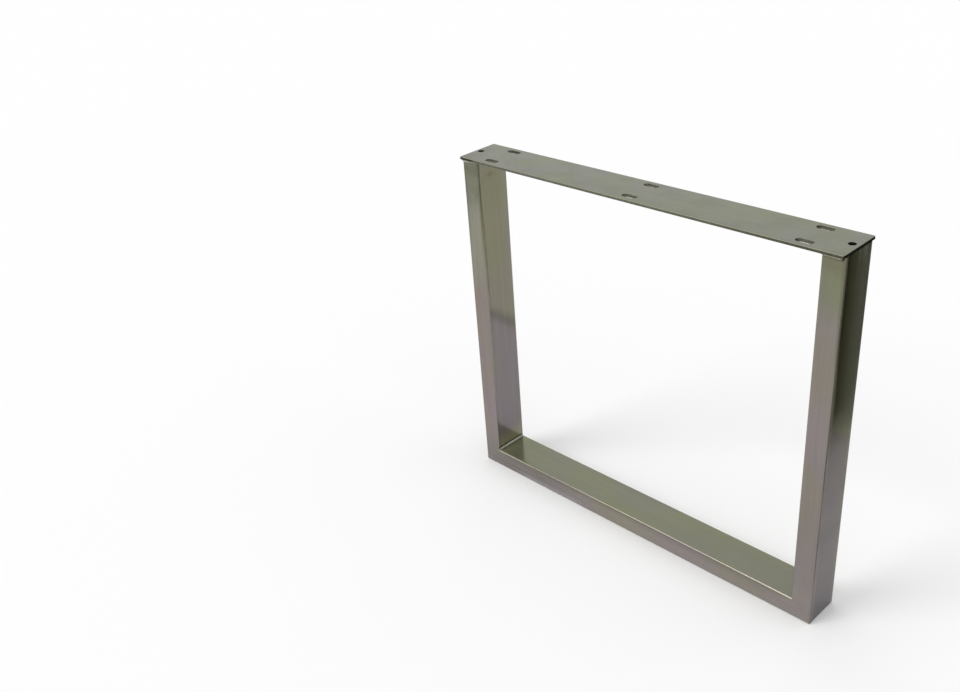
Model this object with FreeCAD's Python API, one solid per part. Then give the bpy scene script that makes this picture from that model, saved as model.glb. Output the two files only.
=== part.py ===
import FreeCAD, Part
import os

# Welded U-shaped frame for the end of a low table: two uprights and a floor rail of one
# rectangular tube, mitred at the lower corners, under a slotted plate that carries the top.
# Millimetres. The origin is the centre of the footprint, X runs along the frame, Y through
# its depth, and Z is up.

# Frame
frame_width = 410.0
upright_height = 359.0

# Tube: the narrow side lies in the plane of the frame, the wide side runs through its depth
tube_narrow = 20.0
tube_wide = 40.0
tube_wall = 1.2
tube_corner_radius = 1.5
mitre_corner_radius = 1.5

# Top plate, flush with the frame at its ends and overhanging it in front and behind
plate_depth = 48.0
plate_thickness = 3.0
plate_corner_radius = 1.5
plate_edge_radius = 0.8

# Screw slots, in pairs across the plate's depth, and one vent hole over each upright's bore
slot_length = 15.5
slot_width = 6.5
slot_pair_offset = 168.0
slot_row_spacing = 31.0
vent_diameter = 6.5
vent_offset = 198.5

# Weld beads
plate_weld_leg = 3.5
corner_weld_leg = 1.5

# How far a cutting shape reaches past what it cuts
clear = 5.0

half_width = frame_width / 2
inner_half_width = half_width - tube_narrow
upright_centre = half_width - tube_narrow / 2
left = -1
right = 1


def arc_between(start, middle, end):
    return Part.Arc(start, middle, end).toShape()


def rounded_rectangle(size_x, size_y, radius):
    """A face on the XY plane, centred on the origin, with a quarter circle at each corner."""
    flat_x = size_x / 2 - radius
    flat_y = size_y / 2 - radius
    at_45 = radius * 0.5 ** 0.5
    edges = []
    for sign_x, sign_y in ((1, 1), (-1, 1), (-1, -1), (1, -1)):
        side_point = FreeCAD.Vector(sign_x * (flat_x + radius), sign_y * flat_y, 0)
        middle = FreeCAD.Vector(sign_x * (flat_x + at_45), sign_y * (flat_y + at_45), 0)
        end_point = FreeCAD.Vector(sign_x * flat_x, sign_y * (flat_y + radius), 0)
        ends = (side_point, end_point) if sign_x == sign_y else (end_point, side_point)
        if edges:
            previous_end = edges[-1].Vertexes[-1].Point
            edges.append(Part.makeLine(previous_end, ends[0]))
        edges.append(arc_between(ends[0], middle, ends[1]))
    edges.append(Part.makeLine(edges[-1].Vertexes[-1].Point, edges[0].Vertexes[0].Point))
    return Part.Face(Part.Wire(edges))


def outline_prism(points, depth):
    """A prism along Y, centred on the XZ plane, over a polygon of (x, z) points."""
    corners = [FreeCAD.Vector(x, -depth / 2, z) for x, z in points]
    outline = Part.makePolygon(corners + corners[:1])
    return Part.Face(outline).extrude(FreeCAD.Vector(0, depth, 0))


def tube(length):
    """A straight length of the tube along Z, standing on the XY plane."""
    bore_radius = tube_corner_radius - tube_wall
    outside = rounded_rectangle(tube_narrow, tube_wide, tube_corner_radius)
    bore = rounded_rectangle(
        tube_narrow - 2 * tube_wall, tube_wide - 2 * tube_wall, bore_radius
    )
    return outside.cut(bore).extrude(FreeCAD.Vector(0, 0, length))


def ground_corner(side):
    """What grinding takes off the sharp outer edge of one lower corner."""
    radius = mitre_corner_radius
    inward = radius * (1 - 0.5 ** 0.5)
    depth = tube_wide + 2 * clear

    def at(distance_in, height):
        return FreeCAD.Vector(side * (half_width - distance_in), -depth / 2, height)

    edges = [
        arc_between(at(radius, 0), at(inward, inward), at(0, radius)),
        Part.makeLine(at(0, radius), at(-clear, radius)),
        Part.makeLine(at(-clear, radius), at(-clear, -clear)),
        Part.makeLine(at(-clear, -clear), at(radius, -clear)),
        Part.makeLine(at(radius, -clear), at(radius, 0)),
    ]
    return Part.Face(Part.Wire(edges)).extrude(FreeCAD.Vector(0, depth, 0))


def upright(side):
    """A tube from the mitre at the floor up to the plate."""
    post = tube(upright_height)
    post.translate(FreeCAD.Vector(side * upright_centre, 0, 0))
    beyond = tube_narrow + clear
    below_mitre = outline_prism(
        [
            (side * (half_width + clear), -clear),
            (side * (half_width - beyond), beyond),
            (side * (half_width - beyond), -clear),
        ],
        tube_wide + 2 * clear,
    )
    return post.cut(below_mitre).cut(ground_corner(side))


def bottom_rail():
    """The tube along the floor, mitred at both ends to meet the uprights."""
    rail = tube(frame_width)
    rail.rotate(FreeCAD.Vector(0, 0, 0), FreeCAD.Vector(0, 1, 0), 90)
    rail.translate(FreeCAD.Vector(-half_width, 0, tube_narrow / 2))
    above = tube_narrow + clear
    between_mitres = outline_prism(
        [
            (-half_width - clear, -clear),
            (half_width + clear, -clear),
            (half_width - above, above),
            (-half_width + above, above),
        ],
        tube_wide + 2 * clear,
    )
    mitred = rail.common(between_mitres)
    return mitred.cut(ground_corner(left)).cut(ground_corner(right))


def slot(centre_x, centre_y):
    """A round-ended slot along X, cut down through the plate."""
    end_radius = slot_width / 2
    straight = slot_length - slot_width
    height = plate_thickness + 2 * clear
    shape = Part.makeBox(straight, slot_width, height)
    shape.translate(FreeCAD.Vector(-straight / 2, -end_radius, 0))
    for side in (left, right):
        end = Part.makeCylinder(
            end_radius, height, FreeCAD.Vector(side * straight / 2, 0, 0)
        )
        shape = shape.fuse(end)
    shape.translate(FreeCAD.Vector(centre_x, centre_y, upright_height - clear))
    return shape.removeSplitter()


def vent_hole(side):
    return Part.makeCylinder(
        vent_diameter / 2,
        plate_thickness + 2 * clear,
        FreeCAD.Vector(side * vent_offset, 0, upright_height - clear),
    )


def top_plate():
    """The flat bar that the table top is screwed to, with its edges lightly broken."""
    blank = rounded_rectangle(frame_width, plate_depth, plate_corner_radius).extrude(
        FreeCAD.Vector(0, 0, plate_thickness)
    )
    rim = [edge for edge in blank.Edges if edge.BoundBox.ZLength < plate_thickness / 2]
    plate = blank.makeFillet(plate_edge_radius, rim)
    plate.translate(FreeCAD.Vector(0, 0, upright_height))
    for column in (-1, 0, 1):
        for row in (-1, 1):
            plate = plate.cut(
                slot(column * slot_pair_offset, row * slot_row_spacing / 2)
            )
    for side in (left, right):
        plate = plate.cut(vent_hole(side))
    return plate


def plate_weld(side):
    """The bead under the plate round three sides of an upright; its outer side has none."""
    at_tube = rounded_rectangle(tube_narrow, tube_wide, tube_corner_radius)
    at_plate = rounded_rectangle(
        tube_narrow + 2 * plate_weld_leg,
        tube_wide + 2 * plate_weld_leg,
        tube_corner_radius + plate_weld_leg,
    )
    at_plate.translate(FreeCAD.Vector(0, 0, plate_weld_leg))
    flared = Part.makeLoft([at_tube.OuterWire, at_plate.OuterWire], True, True)
    inside_tube = at_tube.extrude(FreeCAD.Vector(0, 0, plate_weld_leg))
    ring = flared.cut(inside_tube)
    outer_side = Part.makeBox(
        tube_narrow, tube_wide + 4 * plate_weld_leg, plate_weld_leg + 2 * clear
    )
    flat_end = tube_narrow / 2 - tube_corner_radius
    outer_side.translate(
        FreeCAD.Vector(flat_end, -tube_wide / 2 - 2 * plate_weld_leg, -clear)
    )
    bead = ring.cut(outer_side)
    if side == left:
        bead.rotate(FreeCAD.Vector(0, 0, 0), FreeCAD.Vector(0, 0, 1), 180)
    bead.translate(
        FreeCAD.Vector(side * upright_centre, 0, upright_height - plate_weld_leg)
    )
    return bead


def corner_weld(side):
    """The small bead in the angle between an upright's inner face and the rail's top face."""
    leg = corner_weld_leg
    return outline_prism(
        [
            (side * inner_half_width, tube_narrow),
            (side * inner_half_width, tube_narrow + leg),
            (side * (inner_half_width - leg), tube_narrow),
        ],
        tube_wide - 2 * tube_corner_radius,
    )


def build():
    nodes = {
        "top_plate": top_plate(),
        "bottom_rail": bottom_rail(),
    }
    for name, side in (("left", left), ("right", right)):
        nodes[name + "_upright"] = upright(side)
        nodes[name + "_plate_weld"] = plate_weld(side)
        nodes[name + "_corner_weld"] = corner_weld(side)
    return nodes


os.makedirs("parts", exist_ok=True)
for name, shape in build().items():
    shape.exportStep("parts/" + name + ".step")
    box = shape.BoundBox
    print(
        name,
        "valid", shape.isValid(),
        "solids", len(shape.Solids),
        "volume", round(shape.Volume, 1),
        "size", round(box.XLength, 2), round(box.YLength, 2), round(box.ZLength, 2),
    )
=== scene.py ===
import math

import bpy
import numpy as np
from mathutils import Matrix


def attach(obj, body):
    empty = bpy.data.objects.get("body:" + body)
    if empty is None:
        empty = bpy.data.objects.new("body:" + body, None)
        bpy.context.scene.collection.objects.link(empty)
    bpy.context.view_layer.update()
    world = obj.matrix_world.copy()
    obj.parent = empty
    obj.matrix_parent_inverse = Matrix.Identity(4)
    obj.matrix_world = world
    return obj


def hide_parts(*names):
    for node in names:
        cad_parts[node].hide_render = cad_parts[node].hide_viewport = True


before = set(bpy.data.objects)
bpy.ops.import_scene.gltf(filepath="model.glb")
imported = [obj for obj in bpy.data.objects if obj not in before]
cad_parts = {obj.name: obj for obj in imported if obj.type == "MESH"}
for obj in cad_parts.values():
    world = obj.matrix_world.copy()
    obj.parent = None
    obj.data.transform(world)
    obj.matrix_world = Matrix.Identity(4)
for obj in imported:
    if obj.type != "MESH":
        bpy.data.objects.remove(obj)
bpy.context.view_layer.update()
print("frame loaded:", ", ".join(sorted(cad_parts)))

# The sizes of the pieces are in millimetres, as the part is drawn. Their meshes, and the
# values of the materials and the stage, are in metres.
mm = 0.001

tubeSize = {
    "halfWidth": 205.0,
    "narrow": 20.0,
    "wide": 40.0,
    "wall": 1.2,
    "cornerRadius": 1.5,
    "boreRadius": 0.3,
    "height": 359.0,
    "groundRadius": 1.5,  # the outer edge of the mitred corners after grinding
    "arcSteps": 8,
    "flatSteps": 5,
    "flatStart": 0.02,  # share of a flat side at which its shading points stand
}


# Mesh helpers. Points are millimetres, in arrays of rows and columns.

keysPerMm = 2000  # points that round to the same key become one


# Quads between neighbouring rows and columns of an array of vertex numbers. With wrap the
# last column joins the first.
def gridQuads(numbers, wrap):
    if wrap:
        numbers = np.concatenate([numbers, numbers[:, :1]], axis=1)
    corners = [numbers[:-1, :-1], numbers[:-1, 1:], numbers[1:, 1:], numbers[1:, :-1]]
    return np.stack(corners, axis=-1).reshape(-1, 4)


# Several grids of points as one list of points and one list of quads. Each grid is (points,
# values, wrap, turned): values is a number per point, turned swaps the way the quads face.
def joinGrids(grids):
    points, values, quads, count = [], [], [], 0
    for grid, value, wrap, turned in grids:
        rows, columns = grid.shape[:2]
        numbers = count + np.arange(rows * columns).reshape(rows, columns)
        faces = gridQuads(numbers, wrap)
        quads.append(faces[:, ::-1] if turned else faces)
        points.append(grid.reshape(-1, 3))
        values.append(np.broadcast_to(value, (rows, columns)).reshape(-1))
        count += rows * columns
    return np.concatenate(points), np.concatenate(values), np.concatenate(quads)


# Volume inside a closed skin of quads: a sixth of the sum over its triangles of a . (b x c)
def volumeInside(points, quads):
    a, b, c, d = (points[quads[:, k]] for k in range(4))
    first = np.einsum("ij,ij->i", a, np.cross(b, c))
    second = np.einsum("ij,ij->i", a, np.cross(c, d))
    return (first.sum() + second.sum()) / 6


# A finished piece from grids that share their edges: points that coincide become one, the
# quads face outwards, and the value of each point is kept as an attribute of the mesh. A cap
# is a list of points that close a hole.
def makePiece(name, grids, attributeName, material, caps=(), sharpAngle=30):
    points, values, quads = joinGrids(grids)
    keys = np.round(points * keysPerMm).astype(np.int64)
    first, numbers = np.unique(keys, axis=0, return_index=True, return_inverse=True)[1:]
    numbers = numbers.reshape(-1)
    points, values, quads = points[first], values[first], numbers[quads]
    faces = quads.tolist() + [numbers[cap].tolist() for cap in caps]
    if volumeInside(points, quads) < 0:
        faces = [face[::-1] for face in faces]
    mesh = bpy.data.meshes.new(name)
    mesh.from_pydata((points * mm).tolist(), [], faces)
    attribute = mesh.attributes.new(attributeName, "FLOAT", "POINT")
    attribute.data.foreach_set("value", values.astype(np.float32))
    mesh.polygons.foreach_set("use_smooth", np.ones(len(mesh.polygons), bool))
    mesh.set_sharp_from_angle(angle=math.radians(sharpAngle))
    mesh.materials.append(material)
    mesh.update()
    piece = bpy.data.objects.new(name, mesh)
    bpy.context.scene.collection.objects.link(piece)
    print("piece", name + ":", len(mesh.vertices), "points,", len(mesh.polygons), "faces")
    return piece


def setPart(piece, node):
    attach(piece, "root")
    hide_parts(node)


# A rounded rectangle about the origin: four quarter arcs, each followed by a straight run to
# the next. The runs have a point close to each end, so that smooth shading stays on the arcs.
# Gives the points and a number for each, 1 on an arc and 0 on a flat.
def roundedSection(width, depth, radius):
    quarter = np.linspace(0, math.pi / 2, tubeSize["arcSteps"] + 1)
    angles = quarter[None, :] + np.arange(4)[:, None] * math.pi / 2
    signs = np.array([[1, 1], [-1, 1], [-1, -1], [1, -1]])
    centres = signs * [width / 2 - radius, depth / 2 - radius]
    arcs = centres[:, None, :] + radius * np.stack([np.cos(angles), np.sin(angles)], axis=-1)
    starts = arcs[:, -1, :]
    ends = np.roll(arcs[:, 0, :], -1, axis=0)
    between = np.linspace(0, 1, tubeSize["flatSteps"] + 1)[1:-1]
    share = np.concatenate([[tubeSize["flatStart"]], between, [1 - tubeSize["flatStart"]]])
    runs = starts[:, None, :] + share[None, :, None] * (ends - starts)[:, None, :]
    onArc = np.concatenate([np.ones(arcs.shape[:2]), np.zeros(runs.shape[:2])], axis=1)
    return np.concatenate([arcs, runs], axis=1).reshape(-1, 2), onArc.reshape(-1)


# Pulls what stands outside the ground edge onto it. With inward and height the distances
# from the two outer faces, a point less than one radius from both goes to the circle about
# (radius, radius).
def grindEdge(inward, height, radius):
    u = np.clip(radius - inward, 0, None)
    w = np.clip(radius - height, 0, None)
    reach = np.hypot(u, w)
    scale = np.where(reach > radius, radius / np.maximum(reach, 1e-9), 1.0)
    both = (u > 0) & (w > 0)
    return (
        np.where(both, radius - u * scale, inward),
        np.where(both, radius - w * scale, height),
    )


# Shader helpers, which add to a node tree

# A node with its settings and inputs. An input that is a socket is linked, others are set.
def addNode(tree, kind, inputs=None, **settings):
    node = tree.nodes.new(kind)
    for key, value in settings.items():
        setattr(node, key, value)
    for key, value in (inputs or {}).items():
        if isinstance(value, bpy.types.NodeSocket):
            tree.links.new(value, node.inputs[key])
        else:
            node.inputs[key].default_value = value
    return node


def addMath(tree, operation, a, b=0.0):
    return addNode(tree, "ShaderNodeMath", {0: a, 1: b}, operation=operation).outputs[0]


def addProduct(tree, first, *others):
    for other in others:
        first = addMath(tree, "MULTIPLY", first, other)
    return first


# How far a value is from a middle, on either side of it
def addAway(tree, value, middle):
    return addMath(tree, "ABSOLUTE", addMath(tree, "SUBTRACT", value, middle))


# Smoothly from low at the first of two ends to high at the second
def addStep(tree, value, ends, low=0.0, high=1.0):
    inputs = {"Value": value, "From Min": ends[0], "From Max": ends[1]}
    inputs.update({"To Min": low, "To Max": high})
    node = addNode(tree, "ShaderNodeMapRange", inputs, interpolation_type="SMOOTHSTEP")
    return node.outputs["Result"]


def addVector(tree, operation, a, b):
    second = "Scale" if operation == "SCALE" else 1
    node = addNode(tree, "ShaderNodeVectorMath", {0: a, second: b}, operation=operation)
    return node.outputs[0]


def addParts(tree, vector):
    return addNode(tree, "ShaderNodeSeparateXYZ", {0: vector}).outputs


# A noise is (scale per metre, detail, roughness, share of the scale along Z). A share below
# 1 draws it out along Z.
def addNoise(tree, vector, noise):
    scale, detail, roughness, alongZ = noise
    if alongZ < 1.0:
        vector = addVector(tree, "MULTIPLY", vector, (1.0, 1.0, alongZ))
    inputs = {"Vector": vector, "Scale": scale, "Detail": detail, "Roughness": roughness}
    return addNode(tree, "ShaderNodeTexNoise", inputs).outputs["Fac"]


# A noise's distance from its middle value, 0.5, times an amount
def addSwing(tree, vector, noise, amount):
    centred = addMath(tree, "SUBTRACT", addNoise(tree, vector, noise), 0.5)
    return addProduct(tree, centred, amount)


# A cloud is (noise, the two ends of a smooth step over it, its least value)
def addCloud(tree, vector, cloud):
    noise, ends, least = cloud
    return addStep(tree, addNoise(tree, vector, noise), ends, least)


def addMix(tree, share, a, b):
    inputs = {"Factor": share, 6: a, 7: b}
    return addNode(tree, "ShaderNodeMix", inputs, data_type="RGBA").outputs[2]


def opaque(colour):
    return (*colour, 1.0)


# Lays a tone over a colour, as far as the mask says
def layTone(tree, mask, colour, tone):
    return addMix(tree, mask, colour, opaque(tone))


# Effects: node groups that the materials share. addInside adds a group's nodes, given the
# position in metres and the other inputs, and gives the results by name.
def buildEffect(name, addInside, numbers, colours=()):
    group = bpy.data.node_groups.new(name, "ShaderNodeTree")
    sockets = group.interface
    sockets.new_socket("Position", in_out="INPUT", socket_type="NodeSocketVector")
    for label in colours:
        sockets.new_socket(label, in_out="INPUT", socket_type="NodeSocketColor")
    for label, value in numbers.items():
        number = sockets.new_socket(label, in_out="INPUT", socket_type="NodeSocketFloat")
        number.default_value = value
    given = group.nodes.new("NodeGroupInput").outputs
    results = addInside(group, given["Position"], given)
    for label in results:
        kind = "NodeSocketColor" if label == "Color" else "NodeSocketFloat"
        sockets.new_socket(label, in_out="OUTPUT", socket_type=kind)
    output = group.nodes.new("NodeGroupOutput")
    for label, socket in results.items():
        group.links.new(socket, output.inputs[label])
    return group


grainShape = {
    "hairline": (1.0, 0.4, 0.006),  # a noise without its scale, which is an input
    "streak": (3.0, 0.62, 0.022),
    "hairlineShare": 0.35,
    "middle": 0.675,  # of the two noises together
    "gain": 4.0,
}


# Brushing along Z of the position: hairlines a fraction of a millimetre wide and many
# centimetres long, over broader streaks a few millimetres wide. The tone is the streaks plus
# a share of the hairlines, less their middle value, times the contrast and the gain.
def addGrain(group, position, given):
    shape = grainShape
    hairline = addNoise(group, position, (given["Hairlines"], *shape["hairline"]))
    streak = addNoise(group, position, (given["Streaks"], *shape["streak"]))
    both = addMath(group, "ADD", addProduct(group, hairline, shape["hairlineShare"]), streak)
    centred = addMath(group, "SUBTRACT", both, shape["middle"])
    tone = addProduct(group, centred, given["Contrast"], shape["gain"])
    return {"Tone": tone, "Height": hairline, "Streak": streak}


driftShape = {
    "border": (26.0, 2.0, 0.5, 0.45),
    "mood": ((24.0, 2.0, 0.5, 0.6), (0.38, 0.62), 0.0),
    "cool": (1.008, 0.988, 1.07),  # factors on red, green and blue
    "warm": (0.992, 1.012, 0.93),
    "patch": (13.0, 3.0, 0.6, 1.0),
    "patchGain": 2.0,
}


# Painted reflections over the metal's own patches: two tones, painted reflections of the
# surroundings, that meet at a height, with a ragged border that may be darker than both, and
# soft patches of lighter and darker, warmer and cooler metal. The colour is the blended tone
# times its tint, times 1 plus the patches less the border's dip.
def addPatchesAndPaintedReflections(group, position, given):
    shape = driftShape
    height = addParts(group, position)["Z"]
    ragged = addSwing(group, position, shape["border"], given["Wander"])
    moved = addMath(group, "ADD", height, ragged)
    above = addMath(group, "SUBTRACT", moved, given["Meet"])
    ends = addProduct(group, given["Spread"], -1.0), given["Spread"]
    blended = addMix(group, addStep(group, above, ends), given["Lower"], given["Upper"])
    mood = addCloud(group, position, shape["mood"])
    tint = addMix(group, mood, opaque(shape["cool"]), opaque(shape["warm"]))
    tinted = addVector(group, "MULTIPLY", blended, tint)
    patches = addSwing(group, position, shape["patch"], given["Patches"])
    factor = addMath(group, "ADD", addProduct(group, patches, shape["patchGain"]), 1.0)
    onBorder = addStep(group, addMath(group, "ABSOLUTE", above), (given["Spread"], 0.0))
    dip = addProduct(group, onBorder, given["Border"])
    factor = addMath(group, "SUBTRACT", factor, dip)
    return {"Color": addVector(group, "SCALE", tinted, factor)}


heatShape = {
    "border": (130.0, 3.0, 0.6, 0.5),
    "fade": (1.0, 0.35),  # shares of the reach
    "cloud": ((75.0, 3.0, 0.6, 1.0), (0.3, 0.7), 0.6),
    "bandDrop": 0.0055,
    "band": (0.0045, 0.0005),
    "smoke": ((330.0, 3.0, 0.7, 1.0), (0.35, 0.65), 0.3),
}


# Heat stain below the plate's welds. The mask is strongest just under the level of the bead
# and fades over the reach, with a ragged lower border. The band is a narrow smoky one a set
# drop below the level.
def addHeatStain(group, position, given):
    shape = heatShape
    height = addParts(group, position)["Z"]
    ragged = addSwing(group, position, shape["border"], given["Reach"])
    moved = addMath(group, "ADD", height, ragged)
    below = addMath(group, "SUBTRACT", given["Level"], moved)
    near = addStep(group, addMath(group, "DIVIDE", below, given["Reach"]), shape["fade"])
    mask = addProduct(group, near, addCloud(group, position, shape["cloud"]), given["Strength"])
    drop = addMath(group, "SUBTRACT", given["Level"], height)
    band = addStep(group, addAway(group, drop, shape["bandDrop"]), shape["band"])
    band = addProduct(group, band, addCloud(group, position, shape["smoke"]))
    return {"Mask": mask, "Band": band}


wearShape = {
    "wearAndSheen": ((220.0, 3.0, 0.65, 1.0), (0.32, 0.62), 0.6),
    "missed": ((60.0, 3.0, 0.6, 1.0), (0.3, 0.6), 0.5),
    "crownTurn": 0.6,  # of the normal towards the side face, where the polish is brightest
    "crown": (0.34, 0.1),
    "lineCore": 0.0002,
    "sideTurn": (0.7, 0.95),
}


# Rounded edges: their crown is polished by brushing and handling and carries a painted
# highlight, broken up along its length, and a painted line of shade lies on the side face, a
# set distance from the edge.
def addEdgeWear(group, position, given):
    shape = wearShape
    crown = addStep(group, addAway(group, given["Turn"], shape["crownTurn"]), shape["crown"])
    wearAndSheen = addCloud(group, position, shape["wearAndSheen"])
    # the painted shade line on the side face
    offLine = addAway(group, given["Distance"], given["Line"])
    line = addStep(group, offLine, (given["Width"], shape["lineCore"]))
    side = addStep(group, given["Turn"], shape["sideTurn"])
    return {
        "Polished": addProduct(group, crown, given["Edge"], wearAndSheen),
        "Dull": addProduct(group, line, side, addCloud(group, position, shape["missed"])),
    }


seamShape = {
    "halfWidth": tubeSize["halfWidth"] * mm,
    "wander": (420.0, 2.0, 0.5, 1.0),
    "low": (0.0225, 0.0205),
    "innerFace": (0.1856, 0.1850),
    "toeShade": (0.0243, 0.0226),
}


# The dressed line of a mitre, where |x| + z equals the half width, inside the lower corners,
# and painted shade on an inner face just above its corner bead
def addGroundSeam(group, position, given):
    shape = seamShape
    parts = addParts(group, position)
    sideways = addMath(group, "ABSOLUTE", parts["X"])
    away = addAway(group, addMath(group, "ADD", sideways, parts["Z"]), shape["halfWidth"])
    away = addMath(group, "ADD", away, addSwing(group, position, shape["wander"], given["Width"]))
    line = addStep(group, away, (given["Width"], 0.0))
    inner = addStep(group, sideways, shape["innerFace"])
    return {
        "Mask": addProduct(group, line, addStep(group, parts["Z"], shape["low"])),
        "Shade": addProduct(group, inner, addStep(group, parts["Z"], shape["toeShade"])),
    }


handlingShape = {
    "smudge": ((42.0, 4.0, 0.65, 1.0), (0.38, 0.68), 0.0),
    "cells": 900.0,  # per metre
    "speck": (0.2, 0.08),
    "few": ((160.0, 2.0, 0.5, 1.0), (0.66, 0.72), 0.0),
}


# Haze of handling: soft smudges, and small dark specks at the middles of a few cells
def addHandling(group, position, given):
    shape = handlingShape
    inputs = {"Vector": position, "Scale": shape["cells"], "Randomness": 1.0}
    cells = addNode(group, "ShaderNodeTexVoronoi", inputs).outputs["Distance"]
    specks = addStep(group, cells, shape["speck"])
    specks = addProduct(group, specks, addCloud(group, position, shape["few"]))
    return {"Smudge": addCloud(group, position, shape["smudge"]), "Specks": specks}


# Each effect with the usual values of its inputs, in metres and shares
effects = {
    "grain": buildEffect(
        "brushedGrain", addGrain, {"Hairlines": 2600.0, "Streaks": 420.0, "Contrast": 0.1}
    ),
    "drift": buildEffect(
        "patchesAndPaintedReflections",
        addPatchesAndPaintedReflections,
        {"Meet": 0.2, "Spread": 0.08, "Wander": 0.05, "Patches": 0.08, "Border": 0.0},
        ("Upper", "Lower"),
    ),
    "heat": buildEffect(
        "heatStain", addHeatStain, {"Level": 0.3555, "Reach": 0.02, "Strength": 0.6}
    ),
    "wear": buildEffect(
        "edgeWear",
        addEdgeWear,
        {"Edge": 0.0, "Turn": 0.5, "Distance": 0.01, "Line": 0.0024, "Width": 0.0013},
    ),
    "seam": buildEffect("groundSeam", addGroundSeam, {"Width": 0.0012}),
    "handling": buildEffect("handling", addHandling, {}),
}
print("effects built:", ", ".join(effects))


def addEffect(tree, name, inputs):
    return addNode(tree, "ShaderNodeGroup", inputs, node_tree=effects[name]).outputs


# Materials

# A material with its tree, its shader, and at: the places that its marks are laid out by,
# which are the position, x, y and z of it, and |x| and |y|.
def startMaterial(name, look):
    material = bpy.data.materials.new(name)
    material.use_nodes = True
    tree = material.node_tree
    tree.nodes.clear()
    shader = addNode(tree, "ShaderNodeBsdfPrincipled", {"Metallic": look["metallic"]})
    output = addNode(tree, "ShaderNodeOutputMaterial")
    tree.links.new(shader.outputs[0], output.inputs[0])
    position = addNode(tree, "ShaderNodeTexCoord").outputs["Object"]
    parts = addParts(tree, position)
    at = {"position": position, "x": parts["X"], "y": parts["Y"], "z": parts["Z"]}
    at["|x|"] = addMath(tree, "ABSOLUTE", at["x"])
    at["|y|"] = addMath(tree, "ABSOLUTE", at["y"])
    return material, tree, shader, at


# A place is (what it is measured by, and the two ends of a smooth step over that)
def addPlace(tree, at, place, low=0.0, high=1.0):
    return addStep(tree, at[place[0]], place[1:], low, high)


# Grain runs along Z of a Mapping, so bars that lie along X are turned a quarter about Y
def grainPosition(tree, at, along):
    turn = (0.0, math.pi / 2, 0.0) if along == "X" else (0.0, 0.0, 0.0)
    return addNode(tree, "ShaderNodeMapping", {0: at["position"], "Rotation": turn}).outputs[0]


def addAttribute(tree, name):
    return addNode(tree, "ShaderNodeAttribute", attribute_name=name).outputs["Fac"]


# Roughness is its usual value plus the haze of the smudges plus an extra term. The height
# gives the bump.
def finishSurface(tree, shader, smudge, extra, height, look):
    hazy = addMath(tree, "ADD", addProduct(tree, smudge, look["haze"]), look["roughness"])
    tree.links.new(addMath(tree, "ADD", hazy, extra), shader.inputs["Roughness"])
    bump = addNode(tree, "ShaderNodeBump", {"Height": height, "Distance": look["hairlineDepth"]})
    tree.links.new(bump.outputs[0], shader.inputs["Normal"])


# Tube steel. main is for the faces to the front and back, side for the others: the uprights'
# inner faces, and the rail's top and bottom. outer is for the uprights' outer faces. Each has
# an upper and a lower tone, which are painted reflections of the surroundings. On an upright
# they meet at a height, and on the rail at a distance left of the middle, where the upper tone
# is that of the left end. foot is a third tone, also a painted reflection, up to another
# height. A pair of values is for the lower and the upper part of an upright, and for the
# middle and the ends of the rail.
tubeLook = {
    "edgeAt": 0.020,
    "wander": 0.05,
    "patches": 0.08,
    "shaded": (0.075, 0.077, 0.042),
    "seam": (0.290, 0.270, 0.240),
    "seamShare": 0.12,
    "speck": (0.05, 0.045, 0.03),
    "speckShare": 0.4,
    "roughness": 0.12,
    "streakRoughness": 0.06,
    "haze": 0.03,
    "metallic": 0.66,
    "hairlineDepth": 0.000004,
}

uprightLook = dict(
    tubeLook,
    along="Z",
    sideAxis="X",
    main={
        "upper": (0.240, 0.230, 0.190),
        "lower": (0.227, 0.190, 0.180),
        "foot": (0.196, 0.176, 0.162),
        "meet": 0.235,
        "footMeet": 0.032,
    },
    side={
        "upper": (0.213, 0.203, 0.143),
        "upperBack": (0.213, 0.208, 0.160),
        "back": ("y", 0.006, 0.020),
        "lower": (0.202, 0.180, 0.174),
        "foot": (0.290, 0.282, 0.178),
        "meet": 0.1795,
        "footMeet": 0.033,
        "spread": 0.013,
        "wander": 0.010,
        "tilt": 0.7,  # how much lower the tones meet, per metre of depth
        "border": 0.30,
    },
    outer={"upper": (0.216, 0.210, 0.160), "lower": (0.212, 0.195, 0.178), "meet": 0.22},
    spread=0.03,
    contrast=0.08,
    # heat stain, and the band in it, below the plate
    stain=(0.144, 0.150, 0.097),
    stainReach=0.066,
    stainStrength=1.0,
    band=(0.03, 0.03, 0.028),
    bandShare=0.08,
    # the painted shade line, its distance from the edge, and factors on it at three places
    lineAt=(0.0034, 0.0020),
    lineWidth=0.0015,
    dull=(0.25, 0.75),
    shadeLineFoot=1.0,
    shadeLineBack=0.1,
    shadeLineInner=1.0,
    smear=0.55,
    streaked=0.0,
    # painted shade on a main face towards its outer edge
    falloff=(0.08, 0.38),
    falloffFrom=("outward", 0.1985, 0.2050),
    # painted highlight along the edges of the side faces, and factors on it above and at the foot
    edgeHighlight=(0.260, 0.235, 0.210),
    edgeHighlightReach=(0.0030, 0.0030),
    edgeHighlightHigh=0.0,
    edgeHighlightFoot=1.0,
    # polished crowns of the edges, with a painted highlight low down and painted shade higher up
    wornAndHighlight=(0.325, 0.307, 0.260),
    wornAndShadeHigh=(0.120, 0.125, 0.080),
    polish=(0.2, 0.55),
    # painted shade above the corner bead
    toeShade=(0.02, 0.02, 0.01),
    toeShadeShare=0.8,
)

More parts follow.
